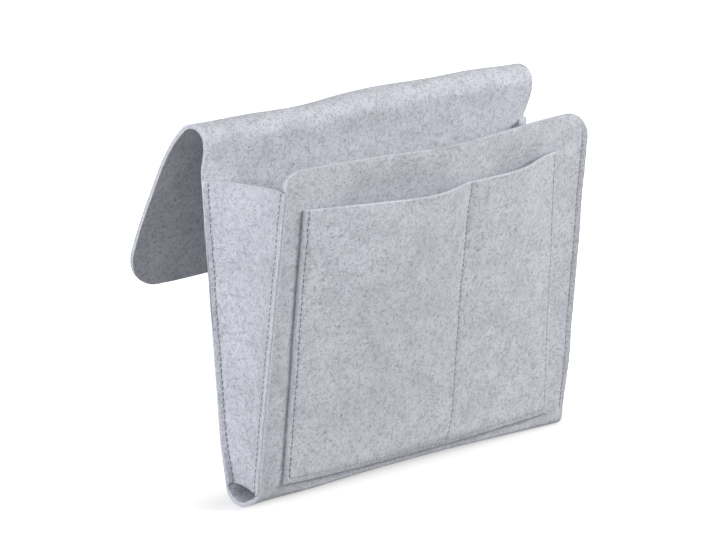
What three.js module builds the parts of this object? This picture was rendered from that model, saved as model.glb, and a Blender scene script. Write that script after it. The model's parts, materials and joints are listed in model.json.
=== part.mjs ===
// Felt bedside caddy in millimetres, +Z up, front facing -Y, standing on its base fold.
// One felt strip makes the front, the base, the back, the top fold and the rear flap.
// Two gussets and a front pocket are sewn to it, each seam with its own thread.

import * as THREE from 'three';

// Felt and thread
const FELT = 3;
const LAYER_GAP = 0.3;
const THREAD_WIDTH = 1.1;
const THREAD_HEIGHT = 0.8;

// Felt strip: its width and its rounded outer corners
const STRIP_WIDTH = 320;
const CORNER_RADIUS = 20;

// Base fold, with radii at the middle of the felt
const BASE_FLAT = 13;
const FRONT_CORNER_RADIUS = 4.5;
const REAR_CORNER_RADIUS = 6;

// Bag: its panels lean apart from the base to the mouth
const GUSSET_HEIGHT = 208;
const GUSSET_ABOVE_CORNER = 7;
const FRONT_ABOVE_GUSSET = 13;
const BACK_ABOVE_GUSSET = 3;
const FRONT_LEAN = THREE.MathUtils.degToRad(8.2);
const BACK_LEAN = THREE.MathUtils.degToRad(4);
const FRONT_BULGE = 9;

// Top fold, with its radius at the middle of the felt, and the flap behind it
const EASE_LENGTH = 21;
const EASE_TURN = THREE.MathUtils.degToRad(5.8);
const FOLD_RADIUS = 12.5;
const FOLD_TURN = THREE.MathUtils.degToRad(147.5);
const HINGE_FROM_FOLD_END = THREE.MathUtils.degToRad(37);
const HINGE_GAP = 0.3;
const HINGE_NOTCH = 0.5;
const FLAP_LENGTH = 132;
const FLAP_TURN = THREE.MathUtils.degToRad(15.5);

// Gussets: their flanges turn outward onto the side edges of the strip
const SEAM_MARGIN = 4;
const SEAM_TO_BEND = 1;
const GUSSET_BEND = 3;

// Front pocket: two compartments on either side of a divider seam
const POCKET_SIDE_MARGIN = 23;
const POCKET_ABOVE_CORNER = 8;
const POCKET_BELOW_TOP = 28;
const POCKET_SEAM_MARGIN = 5;
const RIGHT_POCKET_WIDTH = 109;
const LEFT_GAPE = 14;
const RIGHT_GAPE = 11;
const GAPE_RUN = 38;
const POCKET_HOLLOW = 4.5;
const THREAD_END_GAP = 1.5;

// Mesh steps
const PANEL_ROWS = 10;
const SIDE_COLUMNS = 2;
const POCKET_COLUMNS = 10;
const CORNER_STEPS = 5;
const BEND_STEPS = 5;
const FOLD_STEPS = 6;
const FLAP_ROWS = 8;
const THREAD_STEPS = 14;
const THREAD_SIDES = 6;

const felt = { color: 0xc4c6ca, roughness: 0.95, metalness: 0 };
const thread = { color: 0x5a5c62, roughness: 0.8, metalness: 0 };
const caddy = new THREE.Group();

function add(name, geometry, finish) {
  const mesh = new THREE.Mesh(geometry, new THREE.MeshStandardMaterial(finish));
  mesh.name = name;
  caddy.add(mesh);
}

// Evenly spaced values from start to end, both included
function spread(start, end, steps) {
  return Array.from({ length: steps + 1 }, (_, i) => THREE.MathUtils.lerp(start, end, i / steps));
}

function quad(a, b, c, d) {
  return [a, b, c, a, c, d];
}

function closedGeometry(vertices, faces) {
  const geometry = new THREE.BufferGeometry();
  const numbers = vertices.flatMap((vertex) => vertex.toArray());
  geometry.setAttribute('position', new THREE.Float32BufferAttribute(numbers, 3));
  geometry.setIndex(faces.flat());
  geometry.computeVertexNormals();
  return geometry;
}

// Felt sheets: a grid of points at the middle of the felt becomes a solid of the felt's thickness

function gridNormals(grid) {
  const lastRow = grid.length - 1;
  const lastColumn = grid[0].length - 1;
  return grid.map((row, r) =>
    row.map((_, c) => {
      const across = row[Math.min(c + 1, lastColumn)].clone().sub(row[Math.max(c - 1, 0)]);
      const along = grid[Math.min(r + 1, lastRow)][c].clone().sub(grid[Math.max(r - 1, 0)][c]);
      return across.cross(along).normalize();
    }),
  );
}

// A notch pulls in the far face, the one against the normals, at the first or the last row
function feltSheet(grid, { startNotch = 0, endNotch = 0 } = {}) {
  const rows = grid.length;
  const columns = grid[0].length;
  const normals = gridNormals(grid);
  const nearFace = grid.map((row, r) =>
    row.map((point, c) => point.clone().addScaledVector(normals[r][c], FELT / 2)),
  );
  const farFace = grid.map((row, r) =>
    row.map((point, c) => point.clone().addScaledVector(normals[r][c], -FELT / 2)),
  );
  for (let c = 0; c < columns; c += 1) {
    const first = grid[1][c].clone().sub(grid[0][c]).normalize();
    const last = grid[rows - 2][c].clone().sub(grid[rows - 1][c]).normalize();
    farFace[0][c].addScaledVector(first, startNotch);
    farFace[rows - 1][c].addScaledVector(last, endNotch);
  }
  const near = (r, c) => r * columns + c;
  const far = (r, c) => rows * columns + near(r, c);
  const faces = [];
  for (let r = 0; r < rows - 1; r += 1) {
    for (let c = 0; c < columns - 1; c += 1) {
      faces.push(quad(near(r, c), near(r, c + 1), near(r + 1, c + 1), near(r + 1, c)));
      faces.push(quad(far(r, c), far(r + 1, c), far(r + 1, c + 1), far(r, c + 1)));
    }
    const c = columns - 1;
    faces.push(quad(near(r, 0), near(r + 1, 0), far(r + 1, 0), far(r, 0)));
    faces.push(quad(near(r + 1, c), near(r, c), far(r, c), far(r + 1, c)));
  }
  for (let c = 0; c < columns - 1; c += 1) {
    const r = rows - 1;
    faces.push(quad(near(0, c + 1), near(0, c), far(0, c), far(0, c + 1)));
    faces.push(quad(near(r, c), near(r, c + 1), far(r, c + 1), far(r, c)));
  }
  return closedGeometry([...nearFace.flat(), ...farFace.flat()], faces);
}

// Seam threads: a flattened strand along points that lie on a felt face
function strand(points, outward) {
  const last = points.length - 1;
  const vertices = points.flatMap((point, i) => {
    const along = points[Math.min(i + 1, last)].clone().sub(points[Math.max(i - 1, 0)]).normalize();
    const side = along.clone().cross(outward).normalize();
    const up = side.clone().cross(along);
    const centre = point.clone().addScaledVector(up, LAYER_GAP + THREAD_HEIGHT / 2);
    return spread(0, 2 * Math.PI, THREAD_SIDES).slice(0, -1).map((angle) =>
      centre.clone()
        .addScaledVector(side, (Math.cos(angle) * THREAD_WIDTH) / 2)
        .addScaledVector(up, (Math.sin(angle) * THREAD_HEIGHT) / 2),
    );
  });
  const at = (i, k) => i * THREAD_SIDES + (k % THREAD_SIDES);
  const faces = [];
  for (let k = 0; k < THREAD_SIDES; k += 1) {
    for (let i = 0; i < last; i += 1) {
      faces.push(quad(at(i, k), at(i + 1, k), at(i + 1, k + 1), at(i, k + 1)));
    }
  }
  for (let k = 1; k < THREAD_SIDES - 1; k += 1) {
    faces.push([at(0, 0), at(0, k), at(0, k + 1)]);
    faces.push([at(last, 0), at(last, k + 1), at(last, k)]);
  }
  return closedGeometry(vertices, faces);
}

// Side profile: a pen that walks in the YZ plane and turns as the felt bends
function walker(y, z, heading) {
  const at = { y, z, heading };
  const steps = [{ ...at }];
  const move = (length) => {
    at.y += length * Math.cos(at.heading);
    at.z += length * Math.sin(at.heading);
  };
  return {
    at,
    steps,
    straight(length) {
      move(length);
      steps.push({ ...at });
    },
    bend(length, turn, count) {
      const half = turn / count / 2;
      const chord = 2 * (length / turn) * Math.sin(half);
      for (let i = 0; i < count; i += 1) {
        at.heading += half;
        move(chord);
        at.heading += half;
        steps.push({ ...at });
      }
    },
  };
}

// Two points across the strip at each step of a profile
function acrossStrip(steps) {
  return steps.map(({ y, z, half = STRIP_WIDTH / 2 }) => [
    new THREE.Vector3(-half, y, z),
    new THREE.Vector3(half, y, z),
  ]);
}

// Distances from a rounded end of the strip to the steps of its corner arcs, and the half widths there
function cornerSteps() {
  return spread(0, Math.PI / 2, CORNER_STEPS).map((angle) => ({
    fromEnd: CORNER_RADIUS * (1 - Math.sin(angle)),
    half: STRIP_WIDTH / 2 - CORNER_RADIUS * (1 - Math.cos(angle)),
  }));
}

function smooth(share) {
  return THREE.MathUtils.smoothstep(share, 0, 1);
}

// Base fold

const frontTurn = Math.PI / 2 - FRONT_LEAN;
const rearTurn = Math.PI / 2 - BACK_LEAN;
const frontCorner = walker(-BASE_FLAT / 2, FELT / 2, Math.PI);
frontCorner.bend(FRONT_CORNER_RADIUS * frontTurn, -frontTurn, BEND_STEPS);
const rearCorner = walker(BASE_FLAT / 2, FELT / 2, 0);
rearCorner.bend(REAR_CORNER_RADIUS * rearTurn, rearTurn, BEND_STEPS);
const baseSteps = [...frontCorner.steps.toReversed(), ...rearCorner.steps];
add('base_fold', feltSheet(acrossStrip(baseSteps)), felt);

// Places of the pocket and its seams on the front panel

const gussetBottom = Math.max(frontCorner.at.z, rearCorner.at.z) + GUSSET_ABOVE_CORNER;
const gussetTop = gussetBottom + GUSSET_HEIGHT;
const frontFoot = new THREE.Vector3(0, frontCorner.at.y, frontCorner.at.z);
const frontUp = new THREE.Vector3(0, -Math.sin(FRONT_LEAN), Math.cos(FRONT_LEAN));
const frontOut = new THREE.Vector3(0, -Math.cos(FRONT_LEAN), -Math.sin(FRONT_LEAN));
const frontLength = (gussetTop + FRONT_ABOVE_GUSSET - frontFoot.z) / frontUp.z;
const pocketRight = STRIP_WIDTH / 2 - POCKET_SIDE_MARGIN;
const pocketLeft = -pocketRight;
const pocketTop = frontLength - POCKET_BELOW_TOP;
const leftSeam = pocketLeft + POCKET_SEAM_MARGIN;
const rightSeam = pocketRight - POCKET_SEAM_MARGIN;
const bottomSeam = POCKET_ABOVE_CORNER + POCKET_SEAM_MARGIN;
const divider = pocketRight - RIGHT_POCKET_WIDTH;
const pocketRows = [POCKET_ABOVE_CORNER, ...spread(bottomSeam, pocketTop, PANEL_ROWS)];
const pocketColumns = [
  pocketLeft,
  ...spread(leftSeam, divider, POCKET_COLUMNS),
  ...spread(divider, rightSeam, POCKET_COLUMNS).slice(1),
  pocketRight,
];

// Front panel: it leans forward, swells towards the mouth and is pressed in behind each compartment

// How open a compartment is at a place: it rises over a run from each of its seams, and most at the mouth
function openShare(x, up) {
  const [from, to] = x < divider ? [leftSeam, divider] : [divider, rightSeam];
  const across = smooth((x - from) / GAPE_RUN) * smooth((to - x) / GAPE_RUN);
  return across * smooth((up - bottomSeam) / (pocketTop - bottomSeam));
}

// A point at the middle of the front's felt, or at a distance out from it
function onFront(x, up, out = 0) {
  const swell = FRONT_BULGE * Math.cos((Math.PI * x) / STRIP_WIDTH) ** 2 * smooth(up / frontLength);
  const hollow = POCKET_HOLLOW * openShare(x, up) * (1 - smooth((up - pocketTop) / POCKET_BELOW_TOP));
  const foot = frontFoot.clone().setX(x);
  return foot.addScaledVector(frontUp, up).addScaledVector(frontOut, swell - hollow + out);
}

function frontAtHeight(z) {
  return (z - frontFoot.z) / frontUp.z;
}

function frontGrid() {
  const rows = [
    ...[LAYER_GAP, ...pocketRows].map((up) => ({ up, half: STRIP_WIDTH / 2 })),
    ...cornerSteps().map(({ fromEnd, half }) => ({ up: frontLength - fromEnd, half })),
  ];
  return rows.map(({ up, half }) => {
    const left = spread(-half, pocketLeft, SIDE_COLUMNS).slice(0, -1);
    const right = spread(pocketRight, half, SIDE_COLUMNS).slice(1);
    return [...left, ...pocketColumns, ...right].map((x) => onFront(x, up));
  });
}

add('front_panel', feltSheet(frontGrid()), felt);

// Back panel, fold crown and flap: one profile, parted at the two hinge lines of the fold.
// The notches on the fold's inner side let it close a little past its rest shape.

const backLength = (gussetTop + BACK_ABOVE_GUSSET - rearCorner.at.z) / Math.cos(BACK_LEAN);
const hingeSlack = HINGE_GAP / (FOLD_RADIUS + FELT / 2);
const endTurn = HINGE_FROM_FOLD_END - hingeSlack / 2;
const crownTurn = FOLD_TURN - 2 * HINGE_FROM_FOLD_END - hingeSlack;

const back = walker(rearCorner.at.y, rearCorner.at.z, rearCorner.at.heading);
back.straight(LAYER_GAP);
back.steps.shift();
back.straight(backLength - LAYER_GAP);
back.bend(EASE_LENGTH, EASE_TURN, BEND_STEPS);
back.bend(FOLD_RADIUS * endTurn, -endTurn, FOLD_STEPS);
add('back_panel', feltSheet(acrossStrip(back.steps), { endNotch: HINGE_NOTCH }), felt);

function pastHinge({ y, z, heading }) {
  const next = walker(y, z, heading);
  next.bend(FOLD_RADIUS * hingeSlack, -hingeSlack, 1);
  next.steps.shift();
  return next;
}

const crown = pastHinge(back.at);
crown.bend(FOLD_RADIUS * crownTurn, -crownTurn, FOLD_STEPS);
const crownNotches = { startNotch: HINGE_NOTCH, endNotch: HINGE_NOTCH };
add('fold_crown', feltSheet(acrossStrip(crown.steps), crownNotches), felt);

const flap = pastHinge(crown.at);
const flapCurve = FLAP_TURN / FLAP_LENGTH;
const flapStraight = FLAP_LENGTH - CORNER_RADIUS;
flap.bend(FOLD_RADIUS * endTurn, -endTurn, FOLD_STEPS);
flap.bend(flapStraight, -flapStraight * flapCurve, FLAP_ROWS);
let toEnd = CORNER_RADIUS;
for (const { fromEnd, half } of cornerSteps().slice(1)) {
  flap.bend(toEnd - fromEnd, -(toEnd - fromEnd) * flapCurve, 1);
  flap.steps.at(-1).half = half;
  toEnd = fromEnd;
}
add('rear_flap', feltSheet(acrossStrip(flap.steps), { startNotch: HINGE_NOTCH }), felt);

// Gussets: a tapered web with a flange on each panel, and the threads of both its seams

const layerPitch = FELT + LAYER_GAP;
const seamX = STRIP_WIDTH / 2 - SEAM_MARGIN;
const webX = seamX - SEAM_TO_BEND - GUSSET_BEND;

function rearFlangeY(z) {
  return rearCorner.at.y + (z - rearCorner.at.z) * Math.tan(BACK_LEAN) - layerPitch / Math.cos(BACK_LEAN);
}

function frontFlangeY(z) {
  return frontFoot.y - (z - frontFoot.z) * Math.tan(FRONT_LEAN) + layerPitch / Math.cos(FRONT_LEAN);
}

function gussetRow(side, z) {
  const rear = rearFlangeY(z) - GUSSET_BEND;
  const front = frontFlangeY(z) + GUSSET_BEND;
  const bend = (angle, y) => {
    const x = webX + GUSSET_BEND * (1 - Math.cos(angle));
    return new THREE.Vector3(side * x, y + GUSSET_BEND * Math.sin(angle), z);
  };
  return [
    new THREE.Vector3((side * STRIP_WIDTH) / 2, rear + GUSSET_BEND, z),
    ...spread(Math.PI / 2, 0, BEND_STEPS).map((angle) => bend(angle, rear)),
    ...spread(0, -Math.PI / 2, BEND_STEPS).map((angle) => bend(angle, front)),
    new THREE.Vector3((side * STRIP_WIDTH) / 2, front - GUSSET_BEND, z),
  ];
}

const seamHeights = spread(gussetBottom, gussetTop, THREAD_STEPS);
const forward = new THREE.Vector3(0, -1, 0);
for (const [word, side] of [['left', -1], ['right', 1]]) {
  const web = [gussetRow(side, gussetBottom), gussetRow(side, gussetTop)];
  const rear = seamHeights.map((z) => new THREE.Vector3(side * seamX, rearFlangeY(z) - FELT / 2, z));
  const front = seamHeights.map((z) => onFront(side * seamX, frontAtHeight(z), FELT / 2));
  add(`gusset_${word}`, feltSheet(web), felt);
  add(`thread_gusset_${word}_rear`, strand(rear, forward), thread);
  add(`thread_gusset_${word}_front`, strand(front, forward), thread);
}

// Front pocket, sewn down both sides, along its bottom and at the divider

// A point on the pocket, at a distance out from the middle of its felt
function onPocket(x, up, out = 0) {
  const gape = (x < divider ? LEFT_GAPE : RIGHT_GAPE) * openShare(x, up);
  return onFront(x, up, layerPitch + gape + out);
}

add('front_pocket', feltSheet(pocketRows.map((up) => pocketColumns.map((x) => onPocket(x, up)))), felt);

function upSeam(x, from) {
  return spread(from, pocketTop, THREAD_STEPS).map((up) => onPocket(x, up, FELT / 2));
}

const bottomRun = spread(leftSeam + THREAD_END_GAP, rightSeam - THREAD_END_GAP, THREAD_STEPS);
const bottomPoints = bottomRun.map((x) => onPocket(x, bottomSeam, FELT / 2));
add('thread_pocket_left', strand(upSeam(leftSeam, bottomSeam), frontOut), thread);
add('thread_pocket_right', strand(upSeam(rightSeam, bottomSeam), frontOut), thread);
add('thread_pocket_divider', strand(upSeam(divider, bottomSeam + THREAD_END_GAP), frontOut), thread);
add('thread_pocket_bottom', strand(bottomPoints, frontOut), thread);

// The origin is under the middle of the caddy, on the surface that it stands on
const box = new THREE.Box3().setFromObject(caddy);
caddy.position.set(0, -(box.min.y + box.max.y) / 2, -box.min.z);

export default caddy;
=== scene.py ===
# Looks of a felt bedside caddy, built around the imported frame: front facing -Y, +Z up.
# Shapes are worked out in millimetres and become metres when a mesh is made.
import json
import math

import bpy
import numpy as np
from mathutils import Matrix, Vector


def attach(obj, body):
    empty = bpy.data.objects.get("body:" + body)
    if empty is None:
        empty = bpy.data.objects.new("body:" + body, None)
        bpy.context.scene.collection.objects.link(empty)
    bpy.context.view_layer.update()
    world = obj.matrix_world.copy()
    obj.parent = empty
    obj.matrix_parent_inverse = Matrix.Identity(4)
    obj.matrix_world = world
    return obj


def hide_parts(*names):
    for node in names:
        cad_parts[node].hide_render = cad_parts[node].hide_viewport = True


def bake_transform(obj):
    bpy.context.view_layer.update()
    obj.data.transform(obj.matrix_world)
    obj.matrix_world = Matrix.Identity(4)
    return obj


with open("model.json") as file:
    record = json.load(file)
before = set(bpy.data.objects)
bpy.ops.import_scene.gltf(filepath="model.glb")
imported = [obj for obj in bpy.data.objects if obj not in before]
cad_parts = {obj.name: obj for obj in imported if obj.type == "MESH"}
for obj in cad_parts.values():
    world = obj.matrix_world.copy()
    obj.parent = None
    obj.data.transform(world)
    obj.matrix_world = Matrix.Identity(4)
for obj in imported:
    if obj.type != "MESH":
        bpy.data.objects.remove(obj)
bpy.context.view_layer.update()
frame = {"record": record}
mounts = {mount["name"]: mount for mount in frame["record"]["mounts"]}

METRES = 0.001

# Felt strip, as in the CAD model
FELT = 3.0
HALF_WIDTH = 160.0
CORNER_RADIUS = 20.0
BASE_FLAT = 13.0
FRONT_CORNER_RADIUS = 4.5
REAR_CORNER_RADIUS = 6.0
GUSSET_HEIGHT = 208.0
GUSSET_ABOVE_CORNER = 7.0
FRONT_ABOVE_GUSSET = 13.0
BACK_ABOVE_GUSSET = 3.0
FRONT_LEAN = math.radians(8.2)
BACK_LEAN = math.radians(4)
EASE_LENGTH = 21.0
EASE_TURN = math.radians(5.8)
FOLD_RADIUS = 12.5
EVEN_FOLD_TURN = math.radians(147.5)
EVEN_FLAP_LENGTH = 132.0

# Seams and pocket, as in the CAD model
SEAM_MARGIN = 4.0
POCKET_SIDE_MARGIN = 23.0
POCKET_ABOVE_CORNER = 8.0
POCKET_BELOW_TOP = 28.0
POCKET_SEAM_MARGIN = 5.0
RIGHT_POCKET_WIDTH = 109.0
LEFT_GAPE = 14.0
POCKET_HOLLOW = 4.5

# Soft shape of the front and base, fuller than in the CAD model
FRONT_BULGE = 11.6
BULGE_SHIFT = -18.0
FRONT_TWIST = 4.2
FRONT_SINK = 3.4
FRONT_SAG = 0.6
TOP_WAVE = 3.4
TOP_WAVE_LENGTH = 300.0
TOP_WAVE_START = -35.0
TOP_WAVE_SHARE = 0.22
LEFT_SPREAD = 2.3
RIGHT_SPREAD = 1.9
BASE_ROLL = 3.6
BASE_ROLL_REACH = 15.0
LEFT_END_ROUND = 1.0
RIGHT_END_ROUND = 0.3
END_ROUND_REACH = 70.0
RIPPLE = 0.45
RIPPLE_LENGTHS = (45.0, 127.5)
RIPPLE_WAVES = 14
RIPPLE_SEED = 3

# Soft shape of the back, fold and flap
BACK_SHIFT = 6.3
BACK_TWIST = 6.0
REAR_SHARE_MOST = 1.1
FOLD_DROP = 1.3
FOLD_RISE = 5.4
FOLD_RISE_START = -95.0
FOLD_RISE_RUN = 140.0
FOLD_SPREAD = 2.2
FOLD_TURN = math.radians(129.0)
FLAP_BEND_HIGH = 22.0
FLAP_BEND_LOW = 30.0
FLAP_TURN_HIGH = math.radians(17.5)
FLAP_TURN_LOW = math.radians(9.5)
FLAP_TURN_END = math.radians(5.5)
FLAP_CORNER_RADIUS = 31.0
BEND_BEFORE_FOLD = 12.0
BEND_AFTER_FOLD = 14.0

# Soft shape of the pocket
RIGHT_GAPE = 9.5
MOUTH_DIP = 1.0
MOUTH_EASE = 0.55
BOTTOM_SAG = 3.5
RIGHT_TOP_RISE = 2.8
DIVIDER_SWAY = 6.0
DIVIDER_SWAY_REACH = 25.0
DIVIDER_SWAY_START = 0.15
LEFT_EDGE_SLANT = 4.8
LEFT_EDGE_SHIFT = 2.2
RIGHT_EDGE_SLANT = 12.5
RIGHT_EDGE_SHIFT = 5.0
POCKET_LIFT = 0.15
EDGE_DRAWN_IN = 0.28
EDGE_THINNED = 0.7

# Sewn edges: the margins turn outward and the felt is drawn in at the stitches
EDGE_ARC = 8.0
EDGE_STRAIGHT = 5.0
FRONT_MARGIN_TURN = math.radians(25)
BACK_MARGIN_TURN = math.radians(40)
MARGIN_EASED = 0.5
SHORT_FADE = 60.0
LONG_FADE = 110.0
FIN_ARC = 3.0
FIN_STRAIGHT = 4.0
FIN_TURN_LOW = math.radians(66)
FIN_TURN_HIGH = math.radians(80)
FIN_EASED = 0.7
FIN_FADE = 14.0
FIN_FADE_START = 5.0
SEAM_THINNED = 1.15
SEAM_THINNED_REACH = 5.0
SEAM_THINNED_FADE = 6.0
LAYER_GAP = 0.1
DENT_DEPTH = 0.45
SHALLOW_DENT = 0.2
DENT_REACH = 1.5
DENT_FADE = 2.0
DENT_EVEN = 0.65

# Gussets: flanges on the strip's margins, and a web between them
FLANGE = 5.0
WEB_EASE = 14.0
WEB_EASE_MOST = 0.8
WEB_BOW = 2.0
BOW_EASE = 2.0
GUSSET_DIP = 4.2
GUSSET_DIP_REACH = 50.0

# Stitches
STITCH_PITCH = 4.0
STITCH_LENGTH = 3.3
STITCH_RISE = 0.25
STITCH_SINK = 0.75
STITCH_SLANT = 0.25
STITCH_WANDER = 0.12
THREAD_WIDTH = 0.85
THREAD_HEIGHT = 0.7
THREAD_RINGS = 7
THREAD_SIDES = 6
PLY_LENGTH = 1.1
# Painted light: the share of paler thread on seams that the light falls on
PAINTED_LIGHT_SEAMS = {
    "pocket_right": 0.85,
    "pocket_bottom": 0.6,
    "pocket_divider": 0.4,
    "gusset_right_front": 0.4,
}

# Mesh steps and cut edges
PROFILE_STEP = 0.5
COARSE_STEP = 4.0
ROW_STEP = 1.35
FOLD_STEP = 0.9
FLAP_STEP = 2.6
SLOPE_STEP = 0.2
HEADING_STEP = 0.1
DOWN_STEP = 1.0
CORNER_ROWS = 14
WEB_COLUMNS = 24
EDGE_ROUND = 0.45
EDGE_ROUGHNESS = 0.1
EDGE_LEVELS = (0.32, 0.0, -0.32)
FINE_OFFSETS = (0.0, 0.45, 0.95, 1.6, 2.4)
FLANGE_SEAM_OFFSETS = (-0.95, -0.45, 0.0, 0.45)
SHEET_SPACING = 700.0
LEAST_LENGTH = 1e-9
LEAST_TURN = 1e-4

# Camera at the photograph's viewing angle
IMAGE_WIDTH = 716
SENSOR_WIDTH = 36.0
FOCAL_PIXELS = 4000.0
CAMERA_AZIMUTH = math.radians(-46.56)
CAMERA_PITCH = math.radians(11.27)
CAMERA_ROLL = math.radians(-0.92)
CAMERA_DISTANCE = 2774.0
CAMERA_REACH = 100000.0
CAMERA_TARGET = (-40.9, 0.0, 145.75)


def smooth(share):
    """Eases a share from 0 to 1."""
    share = np.clip(share, 0.0, 1.0)
    return share * share * (3.0 - 2.0 * share)


def unit(vectors):
    return vectors / np.maximum(np.linalg.norm(vectors, axis=-1, keepdims=True), LEAST_LENGTH)


def spread(start, end, step):
    """Even values from start to end, at most a step apart."""
    return np.linspace(start, end, math.ceil((end - start) / step) + 1)


def spaced(low, high, step, fine=()):
    """Values from low to high about a step apart, and closer together beside each fine value."""
    close = [f + side * o for f in (*fine, low, high) for o in FINE_OFFSETS for side in (-1, 1)]
    close = np.unique(np.round([value for value in close if low <= value <= high], 4))
    even = np.linspace(low, high, round((high - low) / step) + 1)
    far = [value for value in even if np.abs(close - value).min() > step / 4]
    return np.sort(np.concatenate([close, far]))


# Places along the side profile of the strip

base_y = mounts["base"]["pos_m"][1] / METRES
front_turn = math.pi / 2 - FRONT_LEAN
rear_turn = math.pi / 2 - BACK_LEAN
front_tangent = math.tan(front_turn / 2)
rear_tangent = math.tan(rear_turn / 2)
base_width = BASE_FLAT + FRONT_CORNER_RADIUS * front_tangent + REAR_CORNER_RADIUS * rear_tangent
round_radius = base_width / (front_tangent + rear_tangent)
foot_y = -BASE_FLAT / 2 - FRONT_CORNER_RADIUS * math.sin(front_turn)
foot_z = FELT / 2 + FRONT_CORNER_RADIUS * (1 - math.cos(front_turn))
heel_y = BASE_FLAT / 2 + REAR_CORNER_RADIUS * math.sin(rear_turn)
heel_z = FELT / 2 + REAR_CORNER_RADIUS * (1 - math.cos(rear_turn))
gusset_bottom = max(foot_z, heel_z) + GUSSET_ABOVE_CORNER
gusset_top = gusset_bottom + GUSSET_HEIGHT
front_length = (gusset_top + FRONT_ABOVE_GUSSET - foot_z) / math.cos(FRONT_LEAN)
back_length = (gusset_top + BACK_ABOVE_GUSSET - heel_z) / math.cos(BACK_LEAN)
heel_s = front_length + FRONT_CORNER_RADIUS * front_turn + BASE_FLAT + REAR_CORNER_RADIUS * rear_turn
fold_s = heel_s + back_length + EASE_LENGTH
fold_length = FOLD_RADIUS * FOLD_TURN
flap_s = fold_s + fold_length
strip_length = fold_s + FOLD_RADIUS * EVEN_FOLD_TURN + EVEN_FLAP_LENGTH
flap_end_length = strip_length - flap_s - FLAP_BEND_HIGH - FLAP_BEND_LOW
split_s = fold_s + fold_length / 2
seam_w = HALF_WIDTH - SEAM_MARGIN
pocket_right = HALF_WIDTH - POCKET_SIDE_MARGIN
pocket_top = front_length - POCKET_BELOW_TOP
side_seam = pocket_right - POCKET_SEAM_MARGIN
bottom_seam = POCKET_ABOVE_CORNER + POCKET_SEAM_MARGIN
divider = pocket_right - RIGHT_POCKET_WIDTH
pocket_seams = (-side_seam, divider, side_seam)


def side_profile(front_radius, rear_radius):
    """Distance, y, z and heading along the middle of the felt, from the front's top edge on."""
    legs = [
        (front_length - (front_radius - FRONT_CORNER_RADIUS) * front_tangent, 0.0),
        (front_radius * front_turn, front_turn),
        (base_width - front_radius * front_tangent - rear_radius * rear_tangent, 0.0),
        (rear_radius * rear_turn, rear_turn),
        (back_length - (rear_radius - REAR_CORNER_RADIUS) * rear_tangent, 0.0),
        (EASE_LENGTH, EASE_TURN),
        (fold_length, -FOLD_TURN),
        (FLAP_BEND_HIGH, -FLAP_TURN_HIGH),
        (FLAP_BEND_LOW, -FLAP_TURN_LOW),
        (flap_end_length, -FLAP_TURN_END),
    ]
    s, heading = 0.0, -front_turn
    y = foot_y - front_length * math.sin(FRONT_LEAN)
    z = foot_z + front_length * math.cos(FRONT_LEAN)
    places = [(s, y, z, heading)]
    for length, turn in legs:
        count = math.ceil(length / PROFILE_STEP)
        for _ in range(count):
            heading += turn / count / 2
            y += length / count * math.cos(heading)
            z += length / count * math.sin(heading)
            heading += turn / count / 2
            s += length / count
            places.append((s, y, z, heading))
    return np.array(places).T


profile_s, *profile = side_profile(FRONT_CORNER_RADIUS, REAR_CORNER_RADIUS)
round_s, *round_profile = side_profile(round_radius, round_radius)
bend_start = front_length - (round_radius - FRONT_CORNER_RADIUS) * front_tangent
bend_end = heel_s + (round_radius - REAR_CORNER_RADIUS) * rear_tangent


def profile_at(w, s):
    """Place y and z and heading at the middle of the felt: towards its ends the base bends in one round."""
    share = np.where(w < 0, LEFT_END_ROUND, RIGHT_END_ROUND)
    share = share * smooth((np.abs(w) - HALF_WIDTH + END_ROUND_REACH) / END_ROUND_REACH)
    saved = (profile_s[-1] - round_s[-1]) * np.clip((s - bend_start) / (bend_end - bend_start), 0, 1)
    return [
        (1 - share) * np.interp(s, profile_s, even) + share * np.interp(s - saved, round_s, bent)
        for even, bent in zip(profile, round_profile)
    ]


def back_place(z):
    """Distance along the strip at a height on the back panel."""
    return heel_s + (z - heel_z) / math.cos(BACK_LEAN)


def front_place(z):
    """Distance along the strip at a height on the front panel."""
    return front_length - (z - foot_z) / math.cos(FRONT_LEAN)


def back_share(z):
    """Share of the height from the heel to the gussets' top."""
    return (z - heel_z) / (gusset_top - heel_z)


# Shape of the soft strip

def ripple(u, v):
    """Gentle unevenness of the felt: a sum of plane waves in all directions."""
    rng = np.random.default_rng(RIPPLE_SEED)
    total = 0.0
    for _ in range(RIPPLE_WAVES):
        angle, phase = rng.uniform(0, 2 * math.pi, 2)
        length = rng.uniform(*RIPPLE_LENGTHS)
        total = total + np.sin(2 * math.pi * (u * math.cos(angle) + v * math.sin(angle)) / length + phase)
    return total / math.sqrt(RIPPLE_WAVES)


def edge_turn(w, turn, arc, straight):
    """Place across and lift of a point w across the strip, whose side margins turn by an angle in an arc."""
    turn = np.maximum(turn, LEAST_TURN)
    start = HALF_WIDTH - arc - straight
    beyond = np.abs(w) - start
    radius = arc / turn
    angle = turn * np.clip(beyond / arc, 0, 1)
    rest = np.maximum(beyond - arc, 0)
    turned = start + radius * np.sin(angle) + rest * np.cos(turn)
    lift = radius * (1 - np.cos(angle)) + rest * np.sin(turn)
    x = np.where(beyond > 0, turned, np.abs(w))
    return np.sign(w) * x, np.where(beyond > 0, lift, 0.0)


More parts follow.
